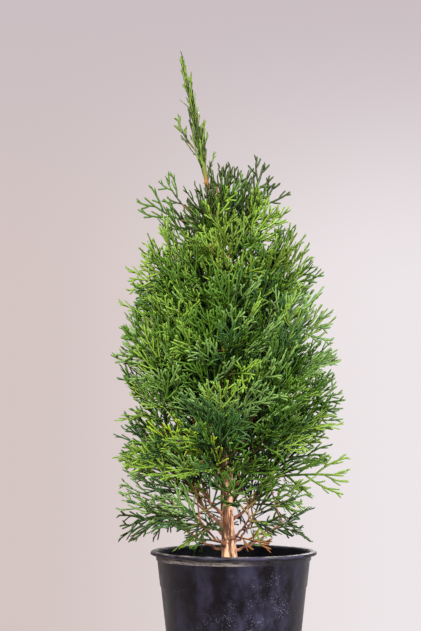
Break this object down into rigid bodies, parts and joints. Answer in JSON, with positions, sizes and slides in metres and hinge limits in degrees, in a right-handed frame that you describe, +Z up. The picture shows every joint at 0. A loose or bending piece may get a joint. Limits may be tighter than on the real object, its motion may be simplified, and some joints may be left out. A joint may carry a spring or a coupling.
{
  "type": "potted thuja",
  "caption": "Young columnar evergreen with flat scaly sprays and a thin leaning leader, standing in a round black nursery pot full of soil.",
  "frame": {"origin": "centre of the flat underside of the pot", "axes": "+Z up along the pot's axis, -Y the side that faces the camera, -X the side that the leader leans to"},
  "size_m": [0.3059, 0.2885, 0.875],
  "materials": {
    "pot": "black moulded plastic, dulled and dusted with dry soil, with a soft sheen",
    "soil": "dark brown potting soil with bark chips",
    "bark": "thin reddish brown bark in long peeling strips",
    "foliage": "green overlapping scale leaves with a slight waxy sheen, yellow green at the tips and darker inside"
  },
  "bodies": {
    "root": {"pot": "pot", "soil": "soil", "trunk": "bark", "bough_1_1": "bark", "bough_1_2": "bark", "bough_1_3": "bark", "bough_1_4": "bark", "bough_1_5": "bark", "bough_1_6": "bark", "bough_2_1": "bark", "bough_2_2": "bark", "bough_2_3": "bark", "bough_2_4": "bark", "bough_2_5": "bark", "bough_2_6": "bark", "bough_2_7": "bark", "bough_3_1": "bark", "bough_3_2": "bark", "bough_3_3": "bark", "bough_3_4": "bark", "bough_3_5": "bark", "bough_3_6": "bark", "bough_4_1": "bark", "bough_4_2": "bark", "bough_4_3": "bark", "bough_4_4": "bark", "bough_4_5": "bark", "sprays_1_1": "foliage", "sprays_1_2": "foliage", "sprays_1_3": "foliage", "sprays_1_4": "foliage", "sprays_1_5": "foliage", "sprays_1_6": "foliage", "sprays_2_1": "foliage", "sprays_2_2": "foliage", "sprays_2_3": "foliage", "sprays_2_4": "foliage", "sprays_2_5": "foliage", "sprays_2_6": "foliage", "sprays_2_7": "foliage", "sprays_3_1": "foliage", "sprays_3_2": "foliage", "sprays_3_3": "foliage", "sprays_3_4": "foliage", "sprays_3_5": "foliage", "sprays_3_6": "foliage", "sprays_4_1": "foliage", "sprays_4_2": "foliage", "sprays_4_3": "foliage", "sprays_4_4": "foliage", "sprays_4_5": "foliage", "sprays_5_1": "foliage", "sprays_5_2": "foliage", "sprays_5_3": "foliage", "sprays_5_4": "foliage", "leader_tip": "foliage", "leader_left": "foliage", "leader_right": "foliage"}
  },
  "joints": []
}
